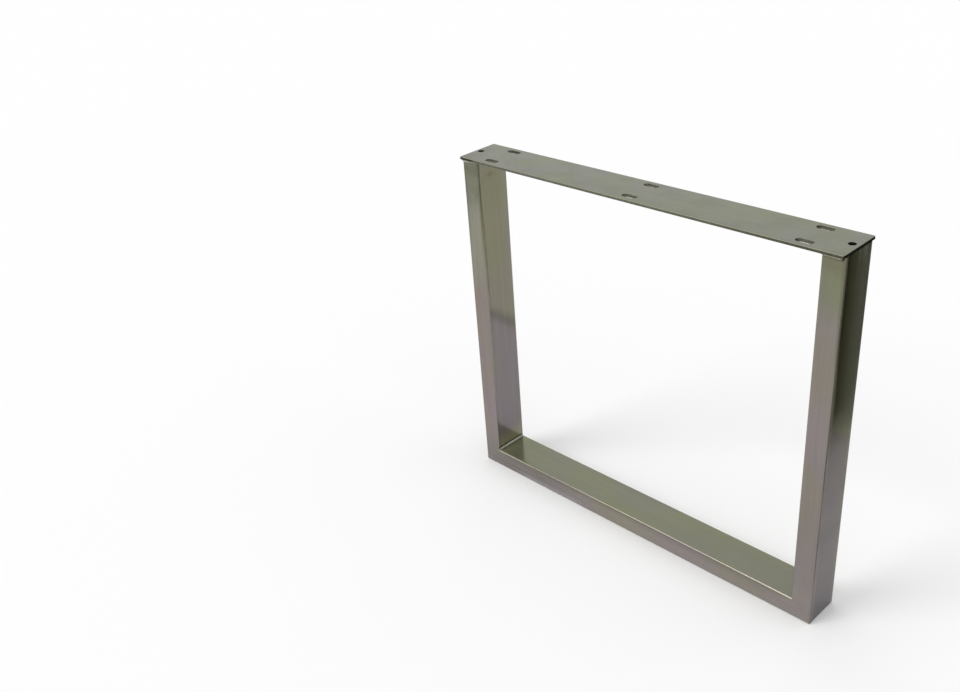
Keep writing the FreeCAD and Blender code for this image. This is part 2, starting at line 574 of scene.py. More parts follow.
rightLook = dict(
    uprightLook,
    main={
        "upper": (0.190, 0.197, 0.134),
        "lower": (0.224, 0.198, 0.177),
        "foot": (0.245, 0.218, 0.190),
        "meet": 0.312,
        "footMeet": 0.032,
    },
    side={"upper": (0.213, 0.203, 0.150), "lower": (0.205, 0.186, 0.172), "meet": 0.20},
    # painted reflections: the near-black upper tone of this outer face is a painted dark reflection
    outer={
        "upper": (0.063, 0.064, 0.025),
        "upperBack": (0.205, 0.209, 0.148),
        "back": ("y", -0.019, 0.020),
        "upperNear": (0.215, 0.222, 0.143),
        "near": ("z", 0.226, 0.1945),
        "lower": (0.183, 0.160, 0.152),
        "foot": (0.116, 0.101, 0.098),
        "meet": 0.1945,
        "footMeet": 0.100,
        "spread": 0.006,
        "wander": 0.006,
        "tilt": 0.65,
    },
    spread=0.018,
    shaded=(0.028, 0.027, 0.014),
    roughness=0.18,
    stain=(0.145, 0.130, 0.085),
    stainReach=0.016,
    stainStrength=0.6,
    bandShare=0.05,
    lineAt=(0.0035, 0.0046),
    lineWidth=0.0042,
    dull=(0.13, 0.8),
    shadeLineFoot=0.0,
    shadeLineBack=0.25,
    shadeLineInner=0.3,
    smear=0.0,
    streaked=0.7,
    falloff=(0.05, 0.40),
    falloffFrom=("outward", 0.2018, 0.2050),
    edgeHighlight=(0.300, 0.285, 0.210),
    edgeHighlightReach=(0.0070, 0.0044),
    edgeHighlightHigh=1.0,
    edgeHighlightFoot=0.2,
    polish=(0.0, 0.0),
)

railLook = dict(
    tubeLook,
    along="X",
    sideAxis="Z",
    main={"upper": (0.202, 0.182, 0.168), "lower": (0.262, 0.236, 0.208), "meet": 0.085},
    side={
        "upper": (0.235, 0.235, 0.165),
        "lower": (0.200, 0.205, 0.144),
        "meet": 0.172,
        "spread": 0.008,
        "wander": 0.006,
    },
    spread=0.045,
    contrast=0.07,
    scuffed=0.17,  # more contrast, on the left of the main faces
    lineAt=0.0020,
    lineWidth=0.0013,
    dull=0.3,
    # painted shade towards the top edge of the main faces
    falloff=(0.28, 0.0),
    falloffFrom=("outward", 0.010, 0.0195),
    # painted sheen, a painted reflection, on the lower part of the main faces
    wearAndSheen=(0.37, 0.36, 0.355),
    sheenLeft=0.55,
    sheenRight=0.12,
    sheenEnd=0.1,
    # polished edge crowns with a painted highlight
    wornAndHighlight=(0.640, 0.610, 0.480),
    polish=(0.05, 0.6),
)

# Where the marks on the tubes begin and end, as addPlace takes them
tubePlaces = {
    "outerFace": ("|x|", 0.190, 0.200),
    "upperPart": ("z", 0.25, 0.29),
    "lineRise": ("z", 0.28, 0.32),
    "shadeLineRise": ("z", 0.15, 0.26),
    "shadeLineFoot": ("z", 0.07, 0.12),
    "shadeLineBack": ("y", -0.006, 0.010),
    "edgeHighlightRise": ("z", 0.24, 0.29),
    "edgeHighlightFoot": ("z", 0.14, 0.20),
    "edgeHighlightTurn": ("turn", 0.35, 0.85),
    "scuffed": ("x", -0.06, -0.14),
    "railEnds": ("|x|", 0.165, 0.185),
    "sheenLeft": ("x", -0.055, -0.08),
    "sheenEnd": ("x", -0.168, -0.135),
    "sheenLow": ("z", 0.0095, 0.002),
    "railPolishAndHighlight": ("|x|", 0.09, 0.175),
}
edgeHighlightCore = 0.001  # the painted edge highlight is full this near to the edge
sideTurn = (0.5, 0.9)  # of the normal, from a main face to a side face
footBlend = (-0.012, 0.014)  # about the height where a foot's tone ends

# The brown smear of flux on the left upright's inner face, 14 mm below the bead
smearShape = {
    "tone": (0.135, 0.1, 0.055),
    "middle": (-0.185, -0.003, 0.3415),
    "scale": (900.0, 95.0, 250.0),  # one over each of its half sizes
    "border": (300.0, 3.0, 0.65, 1.0),
    "borderShare": 1.2,
    "ends": (1.6, 0.5),
}

# Light streaks of weld cleaning below the plate, on the back half of the outer face. They are
# the grain's own streaks, shown where all of these places meet.
streakTone = (0.38, 0.39, 0.33)
streakPlaces = [
    ("z", 0.344, 0.356),
    ("|x|", 0.2040, 0.2048),
    ("y", -0.006, 0.007),
    ("y", 0.0135, 0.009),
    ("streak", 0.42, 0.60),
]


# Adds a tube's own places: the position along its grain, turn (how far an edge is turned to
# the side face), outward, the distance from the edge, and the masks of side and main faces.
def readTube(tree, at, look):
    normal = addNode(tree, "ShaderNodeTexCoord").outputs["Normal"]
    turn = addMath(tree, "ABSOLUTE", addParts(tree, normal)[look["sideAxis"]])
    at["grain"] = grainPosition(tree, at, look["along"])
    at["onSide"] = addStep(tree, turn, sideTurn)
    at["onMain"] = addMath(tree, "SUBTRACT", 1.0, at["onSide"])
    if look["along"] == "Z":
        at.update({"turn": turn, "outward": at["|x|"]})
        away = at["|y|"]
    else:
        at.update({"turn": addMath(tree, "SUBTRACT", 1.0, turn), "outward": at["z"]})
        away = at["z"]
    at["fromEdge"] = addMath(tree, "SUBTRACT", look["edgeAt"], away)


# Two tones, painted reflections, that meet at a place along the bar. Into the upper one, a
# tone for its back is blended by depth and one for its lowest stretch by height, and into the
# lower one the tone of the foot.
def addDrift(tree, at, colours, look):
    upper, lower, meet = opaque(colours["upper"]), opaque(colours["lower"]), colours["meet"]
    if "upperBack" in colours:
        back = addPlace(tree, at, colours["back"])
        upper = layTone(tree, back, upper, colours["upperBack"])
    if "upperNear" in colours:
        near = addPlace(tree, at, colours["near"])
        upper = layTone(tree, near, upper, colours["upperNear"])
    if "foot" in colours:
        ends = [colours["footMeet"] + offset for offset in footBlend]
        lower = addMix(tree, addStep(tree, at["z"], ends), opaque(colours["foot"]), lower)
    if "tilt" in colours:
        meet = addMath(tree, "SUBTRACT", meet, addProduct(tree, at["y"], colours["tilt"]))
    inputs = {"Position": at["grain"], "Upper": upper, "Lower": lower, "Meet": meet}
    inputs["Border"] = colours.get("border", 0.0)
    inputs["Spread"] = colours.get("spread", look["spread"])
    inputs["Wander"] = colours.get("wander", look["wander"])
    inputs["Patches"] = look["patches"]
    return addEffect(tree, "drift", inputs)["Color"]


# The painted reflection tones of all faces of a tube, blended by how its surface is turned
def addTones(tree, at, look):
    side = addDrift(tree, at, look["side"], look)
    if "outer" in look:
        outer = addDrift(tree, at, look["outer"], look)
        side = addMix(tree, addPlace(tree, at, tubePlaces["outerFace"]), side, outer)
    return addMix(tree, at["onSide"], addDrift(tree, at, look["main"], look), side)


def addWear(tree, at, line, look):
    inputs = {"Position": at["position"], "Edge": addAttribute(tree, "roundedEdge")}
    inputs.update({"Turn": at["turn"], "Distance": at["fromEdge"]})
    return addEffect(tree, "wear", dict(inputs, Line=line, Width=look["lineWidth"]))


# The smear is an ellipse about its middle, with a ragged outline
def addSmear(tree, at, look):
    shape = smearShape
    fromMiddle = addVector(tree, "SUBTRACT", at["position"], shape["middle"])
    scaled = addVector(tree, "MULTIPLY", fromMiddle, shape["scale"])
    away = addNode(tree, "ShaderNodeVectorMath", {0: scaled}, operation="LENGTH").outputs["Value"]
    ragged = addProduct(tree, addNoise(tree, at["position"], shape["border"]), shape["borderShare"])
    near = addStep(tree, addMath(tree, "ADD", away, ragged), shape["ends"])
    return addProduct(tree, near, at["onSide"], look["smear"])


# Painted shade on a main face towards its outer edge
def addFalloff(tree, colour, at, place, look):
    strength = addPlace(tree, at, place, *look["falloff"])
    mask = addProduct(tree, addPlace(tree, at, look["falloffFrom"]), at["onMain"], strength)
    return layTone(tree, mask, colour, look["shaded"])


# Marks on an upright, in the order in which they are laid: heat stain under its welds, the
# painted shade line, the smear or the streaks, the painted shade and the painted highlight
# along its edges, and their polish, with a painted highlight low and painted shade high.
def dressUpright(tree, colour, at, look):
    place = tubePlaces
    stain = {"Reach": look["stainReach"], "Strength": look["stainStrength"]}
    heat = addEffect(tree, "heat", dict(stain, Position=at["position"]))
    stained = addProduct(tree, heat["Mask"], at["onMain"])
    colour = layTone(tree, stained, colour, look["stain"])
    banded = addProduct(tree, heat["Band"], at["onMain"], look["bandShare"])
    colour = layTone(tree, banded, colour, look["band"])

    wear = addWear(tree, at, addPlace(tree, at, place["lineRise"], *look["lineAt"]), look)
    # painted shade: a dark line on the side face near each edge
    dull = addProduct(
        tree,
        wear["Dull"],
        addPlace(tree, at, place["shadeLineRise"], *look["dull"]),
        addPlace(tree, at, place["shadeLineFoot"], look["shadeLineFoot"]),
        addPlace(tree, at, place["shadeLineBack"], 1.0, look["shadeLineBack"]),
        addPlace(tree, at, place["outerFace"], look["shadeLineInner"]),
    )
    colour = layTone(tree, dull, colour, look["shaded"])

    if look["smear"]:
        colour = layTone(tree, addSmear(tree, at, look), colour, smearShape["tone"])
    if look["streaked"]:
        masks = [addPlace(tree, at, streakPlace) for streakPlace in streakPlaces]
        colour = layTone(tree, addProduct(tree, *masks, look["streaked"]), colour, streakTone)
    colour = addFalloff(tree, colour, at, place["upperPart"], look)

    # painted highlight along the edges of the side faces
    reach = addPlace(tree, at, place["edgeHighlightRise"], *look["edgeHighlightReach"])
    edgeHighlight = addProduct(
        tree,
        addPlace(tree, at, place["edgeHighlightTurn"]),
        addStep(tree, at["fromEdge"], (reach, edgeHighlightCore)),
        addPlace(tree, at, place["upperPart"], 1.0, look["edgeHighlightHigh"]),
        addPlace(tree, at, place["edgeHighlightFoot"], look["edgeHighlightFoot"]),
    )
    colour = layTone(tree, edgeHighlight, colour, look["edgeHighlight"])

    # polished crowns, with a painted highlight low down and painted shade higher up
    high = addPlace(tree, at, place["upperPart"])
    wornAndHighlight = addMix(tree, high, opaque(look["wornAndHighlight"]), opaque(look["wornAndShadeHigh"]))
    shine = addPlace(tree, at, place["upperPart"], *look["polish"])
    return addMix(tree, addProduct(tree, wear["Polished"], shine), colour, wornAndHighlight)


# Marks on the rail: the painted shade line, the painted shade towards its top edge, the painted
# sheen, a painted reflection, on the lower part of its faces, mostly on the left, and the
# polish of its edges towards the corners, with a painted highlight.
def dressRail(tree, colour, at, look):
    place = tubePlaces
    wear = addWear(tree, at, look["lineAt"], look)
    # painted shade: a dark line near the edges
    colour = layTone(tree, addProduct(tree, wear["Dull"], look["dull"]), colour, look["shaded"])
    colour = addFalloff(tree, colour, at, place["railEnds"], look)
    # painted sheen on the lower part of the faces, mostly on the left
    wearAndSheen = addProduct(
        tree,
        addPlace(tree, at, place["sheenLeft"], look["sheenRight"], look["sheenLeft"]),
        addPlace(tree, at, place["sheenEnd"], look["sheenEnd"]),
        addPlace(tree, at, place["sheenLow"]),
        at["onMain"],
    )
    colour = layTone(tree, wearAndSheen, colour, look["wearAndSheen"])
    # polished edges with a painted highlight towards the corners
    shine = addPlace(tree, at, place["railPolishAndHighlight"], *look["polish"])
    return layTone(tree, addProduct(tree, wear["Polished"], shine), colour, look["wornAndHighlight"])


# A brushed tube: its tones, painted reflections, under its grain, the marks of its place in
# the frame, and then the dressed seams of the mitres, the painted shade above the corner
# bead, and specks.
def buildTubeSteel(name, look):
    material, tree, shader, at = startMaterial(name, look)
    readTube(tree, at, look)
    contrast = look["contrast"]
    if "scuffed" in look:
        scuffed = addPlace(tree, at, tubePlaces["scuffed"], 0.0, look["scuffed"])
        contrast = addMath(tree, "ADD", addProduct(tree, scuffed, at["onMain"]), contrast)
    grain = addEffect(tree, "grain", {"Position": at["grain"], "Contrast": contrast})
    at["streak"] = grain["Streak"]
    factor = addMath(tree, "ADD", grain["Tone"], 1.0)
    colour = addVector(tree, "SCALE", addTones(tree, at, look), factor)
    dress = dressUpright if look["along"] == "Z" else dressRail
    colour = dress(tree, colour, at, look)
    seam = addEffect(tree, "seam", {"Position": at["position"]})
    dressed = addProduct(tree, seam["Mask"], look["seamShare"])
    colour = layTone(tree, dressed, colour, look["seam"])
    # painted shade on the inner face just above the corner bead
    if "toeShade" in look:
        toeShade = addProduct(tree, seam["Shade"], look["toeShadeShare"])
        colour = layTone(tree, toeShade, colour, look["toeShade"])
    handling = addEffect(tree, "handling", {"Position": at["position"]})
    specks = addProduct(tree, handling["Specks"], look["speckShare"])
    colour = layTone(tree, specks, colour, look["speck"])
    tree.links.new(colour, shader.inputs["Base Color"])
    extra = addProduct(tree, grain["Streak"], look["streakRoughness"])
    finishSurface(tree, shader, handling["Smudge"], extra, grain["Height"], look)
    return material


# Plate steel. cutEdge has the tones of the plate's outer edge from left to right and then at
# its ends, and cutHole those of the slots, the right vent and the left vent: the cut's darker
# metal with painted shade, which differs from place to place. cut runs from 0 on a face to 1
# on the cut edge, and offRim is how far it is from half way.
plateLook = {
    "face": (0.221, 0.227, 0.175),
    # painted highlight along the rims, stronger at the left end
    "rim": (0.33, 0.33, 0.27),
    "rimHighlightShare": (0.3, 0.9),
    "rimHighlightLeft": ("x", -0.170, -0.190),
    "onRim": ("offRim", 0.35, 0.1),
    "onCut": ("cut", 0.72, 0.97),
    "notEnd": ("|x|", 0.2047, 0.2041),
    "inHole": ("|y|", 0.0215, 0.0205),
    # the cut's darker metal with painted shade, which differs from place to place
    "cutEdge": [
        ((0.036, 0.034, 0.024), None),
        ((0.140, 0.137, 0.104), ("x", -0.190, -0.182)),
        ((0.090, 0.086, 0.062), ("x", 0.02, 0.19)),
        ((0.022, 0.021, 0.015), ("|x|", 0.2041, 0.2047)),
    ],
    "cutHole": [
        ((0.150, 0.146, 0.108), None),
        ((0.040, 0.039, 0.028), ("x", 0.185, 0.190)),
        ((0.075, 0.073, 0.052), ("x", -0.188, -0.192)),
    ],
    "cutLines": (2400.0, 2.0, 0.6, 0.08),
    "lineTones": ((0.3, 0.7), 0.7, 1.3),
    "cutRoughness": 0.15,
    "speck": (0.06, 0.055, 0.04),
    "speckShare": 0.35,
    "grain": {"Hairlines": 3200.0, "Streaks": 260.0, "Contrast": 0.04},
    "patches": 0.05,
    "roughness": 0.38,
    "haze": 0.08,
    "metallic": 0.9,
    "hairlineDepth": 0.000010,
}


# The first tone is everywhere, and each of the others covers it where its place begins
def layCutTones(tree, at, tones):
    colour = opaque(tones[0][0])
    for tone, place in tones[1:]:
        colour = layTone(tree, addPlace(tree, at, place), colour, tone)
    return colour


# Flat bar: finer matt grain on its faces, a painted highlight along its rims, and dark cut
# edges and holes, the cut's darker metal with painted shade, with fine lines across the
# thickness.
def buildPlateSteel(name, look):
    material, tree, shader, at = startMaterial(name, look)
    grainAt = {"Position": grainPosition(tree, at, "X")}
    grain = addEffect(tree, "grain", dict(look["grain"], **grainAt))
    face = opaque(look["face"])
    tones = {"Upper": face, "Lower": face, "Patches": look["patches"]}
    drift = addEffect(tree, "drift", dict(tones, Position=at["position"]))["Color"]
    colour = addVector(tree, "SCALE", drift, addMath(tree, "ADD", grain["Tone"], 1.0))
    handling = addEffect(tree, "handling", {"Position": at["position"]})
    specks = addProduct(tree, handling["Specks"], look["speckShare"])
    colour = layTone(tree, specks, colour, look["speck"])
    at["cut"] = addAttribute(tree, "cutEdge")
    at["offRim"] = addAway(tree, at["cut"], 0.5)
    # painted highlight along the rims
    share = addPlace(tree, at, look["rimHighlightLeft"], *look["rimHighlightShare"])
    rim = addProduct(tree, addPlace(tree, at, look["onRim"]), share)
    colour = layTone(tree, rim, colour, look["rim"])

    inside = addPlace(tree, at, look["inHole"])
    inside = addProduct(tree, inside, addPlace(tree, at, look["notEnd"]))
    # dark cut edges and hole walls: the cut's darker metal with painted shade
    edge = layCutTones(tree, at, look["cutEdge"])
    edge = addMix(tree, inside, edge, layCutTones(tree, at, look["cutHole"]))
    lines = addNoise(tree, at["position"], look["cutLines"])
    edge = addVector(tree, "SCALE", edge, addStep(tree, lines, *look["lineTones"]))
    onCut = addPlace(tree, at, look["onCut"])
    tree.links.new(addMix(tree, onCut, colour, edge), shader.inputs["Base Color"])
    heights = {"Factor": onCut, "A": grain["Height"], "B": lines}
    relief = addNode(tree, "ShaderNodeMix", heights, data_type="FLOAT").outputs[0]
    extra = addProduct(tree, onCut, look["cutRoughness"])
    finishSurface(tree, shader, handling["Smudge"], extra, relief, look)
    return material


# painted highlight on the ripple crowns and painted shade in their valleys
beadLook = {
    "paintedHighlight": (0.36, 0.35, 0.29),
    "dull": (0.19, 0.185, 0.15),
    "cloud": ((240.0, 3.0, 0.6, 1.0), (0.35, 0.7), 0.0),
    "end": (0.37, 0.365, 0.32),
    "endShare": 0.6,
    "atEnd": ("|x|", 0.191, 0.198),
    "roughness": 0.34,
    "crownShine": 0.1,
    "grain": (1500.0, 3.0, 0.6, 1.0),
    "grainDepth": 0.00003,
    "metallic": 0.95,
}

rightBeadLook = dict(
    beadLook,
    paintedHighlight=(0.36, 0.355, 0.265),
    dull=(0.27, 0.265, 0.19),
    end=(0.30, 0.285, 0.21),
)


# Weld metal: a painted highlight on the crowns of its ripples and painted shade in the
# valleys, and of another tone at the outer ends of the plate beads
def buildBeadSteel(name, look):
    material, tree, shader, at = startMaterial(name, look)
    crown = addAttribute(tree, "rippleCrown")
    cloud = addCloud(tree, at["position"], look["cloud"])
    share = addProduct(tree, addMath(tree, "ADD", crown, cloud), 0.5)
    # painted highlight on crowns, painted shade in valleys
    colour = addMix(tree, share, opaque(look["dull"]), opaque(look["paintedHighlight"]))
    end = addPlace(tree, at, look["atEnd"], 0.0, look["endShare"])
    tree.links.new(layTone(tree, end, colour, look["end"]), shader.inputs["Base Color"])
    shine = addProduct(tree, crown, look["crownShine"])
    rough = addMath(tree, "SUBTRACT", look["roughness"], shine)
    tree.links.new(rough, shader.inputs["Roughness"])
    grain = addNoise(tree, at["position"], look["grain"])
    bump = addNode(tree, "ShaderNodeBump", {"Height": grain, "Distance": look["grainDepth"]})
    tree.links.new(bump.outputs[0], shader.inputs["Normal"])
    return material


uprightSteel = {
    "left": buildTubeSteel("leftSteel", uprightLook),
    "right": buildTubeSteel("rightSteel", rightLook),
}
railSteel = buildTubeSteel("railSteel", railLook)
plateSteel = buildPlateSteel("plateSteel", plateLook)
beadSteel = {
    "left": buildBeadSteel("leftBeadSteel", beadLook),
    "right": buildBeadSteel("rightBeadSteel", rightBeadLook),
}
print("materials built")


# Tubes

tubeRows = {
    # distances from a mitre's end, close together where the ground edge is
    "mitre": (0, 0.12, 0.25, 0.4, 0.6, 0.85, 1.1, 1.35, 1.6, 3.0, 8.0),
    "squareEnd": 8.0,
    "middleFrom": 18.0,
    "middleCount": 17,
}


# One length of tube as a closed skin: the outside, the bore, and a ring at each end. place
# turns section points and rows into positions; both skins have the same rows and columns.
def makeTube(name, node, place, rows, material):
    size = tubeSize
    twoWalls = 2 * size["wall"]
    outer, onArc = roundedSection(size["narrow"], size["wide"], size["cornerRadius"])
    bore = size["narrow"] - twoWalls, size["wide"] - twoWalls
    inner = roundedSection(*bore, size["boreRadius"])[0]
    outside, inside = place(outer, rows), place(inner, rows)
    ends = [np.stack([outside[k], inside[k]]) for k in (0, -1)]
    grids = [
        (outside, onArc[None, :], True, False),
        (inside, 0.0, True, True),
        (ends[0], 0.0, True, True),
        (ends[1], 0.0, True, False),
    ]
    setPart(makePiece(name, grids, "roundedEdge", material), node)


# Shares along a bar of the given length, close together at a mitred end
def rowsAlong(length, bothEnds):
    near = np.array(tubeRows["mitre"])
    square = np.array([length - tubeRows["squareEnd"], length])
    far = length - near[::-1] if bothEnds else square
    start = tubeRows["middleFrom"]
    middle = np.linspace(start, length - start, tubeRows["middleCount"])
    return np.concatenate([near, middle, far]) / length


# An upright: a section point lies a distance inward from the outer face and at a depth y.
# Its rows run from the mitre, where the height equals that distance, up to the plate.
def placeUpright(side):
    def place(section, rows):
        inward = tubeSize["narrow"] / 2 - section[None, :, 0] + 0 * rows[:, None]
        depth = section[None, :, 1] + 0 * rows[:, None]
        height = inward + (tubeSize["height"] - inward) * rows[:, None]
        inward, height = grindEdge(inward, height, tubeSize["groundRadius"])
        x = side * (tubeSize["halfWidth"] - inward)
        return np.stack([x, depth, height], axis=-1)

    return place


# The rail: a section point has a height above the floor and a depth y. Its rows run from one
# mitre to the other, where the distance from the outer face equals the height.
def placeRail(section, rows):
    height = tubeSize["narrow"] / 2 + section[None, :, 0] + 0 * rows[:, None]
    depth = section[None, :, 1] + 0 * rows[:, None]
    x = (tubeSize["halfWidth"] - height) * (2 * rows[:, None] - 1)
    inward = tubeSize["halfWidth"] - np.abs(x)
    inward, height = grindEdge(inward, height, tubeSize["groundRadius"])
    return np.stack([np.sign(x) * (tubeSize["halfWidth"] - inward), depth, height], axis=-1)


uprightRows = rowsAlong(tubeSize["height"] - tubeSize["narrow"] / 2, False)
railRows = rowsAlong(2 * tubeSize["halfWidth"] - tubeSize["narrow"], True)
for label, side in (("left", -1), ("right", 1)):
    node, steel = label + "_upright", uprightSteel[label]
    makeTube(label + "Upright", node, placeUpright(side), uprightRows, steel)
makeTube("bottomRail", "bottom_rail", placeRail, railRows, railSteel)


# Top plate

plateSize = {
    "halfLength": 205.0,
    "halfDepth": 24.0,
    "bottom": 359.0,
    "top": 362.0,
    "cornerRadius": 1.5,
    "rimRadius": 0.8,
    "slotX": 168.0,
    "slotY": 15.5,
    "slotStraight": 9.0,
    "holeRadius": 3.25,
    "ventX": 198.5,
    "lipRadius": 0.12,  # the broken edge of slots and vents
    "cellsMeet": (84.0, 190.0),  # x where the cells round the slots and vents meet
    "ringShares": (0.0, 0.03, 0.12, 0.3, 0.6, 1.0),
    "stepsAcross": 8,  # of a slot's cell, from the middle line to the long edge
    "stepsAlong": 24,
    "ventSteps": 16,
    "endSteps": 12,
    "runSteps": 4,
    "cornerSteps": 8,
    "rimSteps": 4,
}


# Straight runs between the corners given, each cut into its number of steps
def pointsAlong(corners, steps):
    corners = np.array(corners, float)
    ends = np.roll(corners, -1, axis=0)
    runs = [
        a + np.arange(count)[:, None] / count * (b - a)
        for a, b, count in zip(corners, ends, steps)
    ]
    return np.concatenate(runs)


# The profile of an edge of the plate, from the top face to the underside: a quarter round,
# the straight cut, and a quarter round. Gives how far it has gone outward, its height, and
# a value that runs from 0 on a face to 1 on the cut.
def edgeProfile(radius):
    turn = np.linspace(0, math.pi / 2, plateSize["rimSteps"] + 1)
    out = radius * np.sin(turn)
    drop = radius * (1 - np.cos(turn))
    level = np.concatenate([plateSize["top"] - drop, (plateSize["bottom"] + drop)[::-1]])
    inCut = np.concatenate([np.sin(turn), np.sin(turn)[::-1]])[:, None]
    return np.concatenate([out, out[::-1]]), level, inCut


# Points round a stadium, which is a circle carried along a straight of its own diameter
# line. Share 0 is its +X end, and shares run once round it by length. Gives the centre that
# each point lies about and its direction from there.
def stadiumRound(share, straight, radius):
    arc = math.pi * radius
    length = (share % 1.0) * (2 * arc + 2 * straight)
    knots = np.cumsum([0, arc / 2, straight, arc, straight, arc / 2])
    angle = np.interp(length, knots, [0, 90, 90, 270, 270, 360])
    along = np.interp(length, knots, np.array([1, 1, -1, -1, 1, 1]) * straight / 2)
    angle = np.radians(angle)
    centres = np.stack([along, 0 * along], axis=-1)
    return centres, np.stack([np.cos(angle), np.sin(angle)], axis=-1)


# One cell of the plate, as grids for its top, its underside and the wall of its hole. A cell
# is the surface between a hole's edge and the cell's border, in rings at set shares of the
# way out. The wall is the hole's outline carried down, with a small quarter round at each lip.
# startIndex is the point of the border that goes with the hole's +X end.
def plateCell(border, centre, straight, startIndex, mirror):
    size = plateSize
    lip, radius = size["lipRadius"], size["holeRadius"]
    share = (np.arange(len(border)) - startIndex) / len(border)
    centres, directions = stadiumRound(share, straight, radius)
    hole = centres + centre + directions * (radius + lip)
    shares = np.array(size["ringShares"])[:, None, None]
    rings = hole[None] * (1 - shares) + border[None] * shares
    out, level, inCut = edgeProfile(lip)
    reach = radius + lip - out
    walls = (centres + centre)[None] + directions[None] * reach[:, None, None]

    def lift(flat, height):
        height = np.broadcast_to(height, flat.shape[:2])
        return np.concatenate([flat * mirror, height[..., None]], axis=-1)

    flipped = mirror[0] * mirror[1] < 0
    return [
        (lift(rings, size["top"]), 0.0, True, flipped),
        (lift(rings, size["bottom"]), 0.0, True, not flipped),
        (lift(walls, level[:, None]), inCut, True, not flipped),
    ]


# The border of a slot's cell, from the plate's middle line to its long edge
def slotBorder(low, high, edgeY):
    steps = (plateSize["stepsAcross"], plateSize["stepsAlong"]) * 2
    return pointsAlong([(high, 0), (high, edgeY), (low, edgeY), (low, 0)], steps)


# The plate's end, inside its rim: the end itself, a rounded corner, and the run along the
# edge back to the slots' cells
def plateEnd(endX, edgeY, radius, inner):
    angle = np.linspace(0, math.pi / 2, plateSize["cornerSteps"] + 1)
    corner = np.stack([np.cos(angle), np.sin(angle)], axis=-1) * radius
    corner = corner + [endX - radius, edgeY - radius]
    y = np.linspace(-1, 1, plateSize["endSteps"] + 1)[1:-1] * (edgeY - radius)
    end = np.stack([np.full_like(y, endX), y], axis=-1)
    x = np.linspace(endX - radius, inner, plateSize["runSteps"] + 1)[1:-1]
    run = np.stack([x, np.full_like(x, edgeY)], axis=-1)
    return end, corner, run


# The whole plate: cells round its six slots and two vents, and the rim's profile carried
# round their outer border
def makePlate():
    size = plateSize
    rim = size["rimRadius"]
    endX, edgeY = size["halfLength"] - rim, size["halfDepth"] - rim
    cornerRadius = size["cornerRadius"] - rim
    near, far = size["cellsMeet"]
    end, corner, run = plateEnd(endX, edgeY, cornerRadius, far)
    middle = len(end) // 2
    y = np.linspace(1, -1, size["ventSteps"] + 1) * edgeY
    back = np.stack([np.full_like(y, far), y], axis=-1)
    below = np.array([1, -1])
    ventBorder = np.concatenate([end, corner, run, back, run[::-1] * below, corner[::-1] * below])
    slots = [
        (slotBorder(near, far, edgeY), size["slotX"]),
        (slotBorder(-near, near, edgeY), 0.0),
    ]
    grids = []
    for border, x in slots:
        centre = np.array([x, size["slotY"]])
        start = size["stepsAcross"] // 2
        for mirrorX in (1, -1) if x else (1,):
            for mirrorY in (1, -1):
                mirror = np.array([mirrorX, mirrorY])
                grids += plateCell(border, centre, size["slotStraight"], start, mirror)
    for mirrorX in (1, -1):
        centre = np.array([size["ventX"], 0.0])
        grids += plateCell(ventBorder, centre, 0.0, middle, np.array([mirrorX, 1]))
    corners = [(x, edgeY) for x in (far, near, -near, -far)]
    longSide = pointsAlong(corners, (size["stepsAlong"],) * 3 + (1,))
    across = np.array([-1, 1])
    rightHalf = [end[middle:], corner, run]
    leftHalf = [part[::-1] * across for part in (run, corner, end[middle + 1:])]
    half = np.concatenate([*rightHalf, longSide, *leftHalf])
    outline = np.concatenate([half, -half])
    core = np.array([endX - cornerRadius, edgeY - cornerRadius])
    outward = (outline - np.clip(outline, -core, core)) / cornerRadius
    reach, level, inCut = edgeProfile(rim)
    skin = outline[None] + outward[None] * reach[:, None, None]
    height = np.broadcast_to(level[:, None, None], (*skin.shape[:2], 1))
    grids.append((np.concatenate([skin, height], axis=-1), inCut, True, False))
    setPart(makePiece("topPlate", grids, "cutEdge", plateSteel), "top_plate")


makePlate()


# Weld beads

plateBead = {
    "leg": 3.5,
    "ripplePitch": 1.25,
    "rippleHeight": 0.055,  # share of the leg
    "crown": 0.35,  # 0 is a flat face at 45 degrees, 1 a quarter circle
    "taper": 2.4,
    "sink": 0.3,
    "corners": (18.2, 57.5),  # places along the root where it turns, and the bead is thinner
    "thinning": 0.4,
    "rows": 340,
}

cornerBead = {
    "leg": 1.5,
    "ripplePitch": 0.9,
    "rippleHeight": 0.05,
    "crown": 0.3,
    "taper": 1.2,
    "sink": 0.2,
    "corners": (),
    "thinning": 0.0,
    "rows": 200,
}

# What both kinds of bead share. A wave is (size, radians per millimetre, start).
rippleShape = {
    "pointsAcross": 15,
    "thinReach": 7.0,
    "thinPower": 1.5,
    "endSize": 0.45,  # share of the full size at the very ends
    "bow": 1.1,  # in ripples, how far the toes lag behind the middle
    "wander": ((0.25, 0.41, 0.0), (0.15, 1.13, 1.7)),
    "swell": ((0.05, 0.33, 0.6), (0.03, 0.87, 0.0)),
    "power": 0.7,
    "middle": 0.6,
    "atToes": 0.4,
    "bulge": 0.12,
    "sharpAngle": 50,  # degrees, past which an edge of the mesh isn't shaded smooth
}


# 1 at the given places along a run, down to 0 over the reach on both sides of each
def thinnedAt(run, places):
    if not len(places):
        return np.zeros((len(run), 1))
    nearest = np.abs(run[:, None] - np.array(places)[None, :]).min(axis=1)
    share = 1 - np.clip(nearest / rippleShape["thinReach"], 0, 1)
    return share[:, None] ** rippleShape["thinPower"]


# The sum of a few sine waves
def wavesAlong(s, waves):
    return sum(size * np.sin(s * rate + start) for size, rate, start in waves)


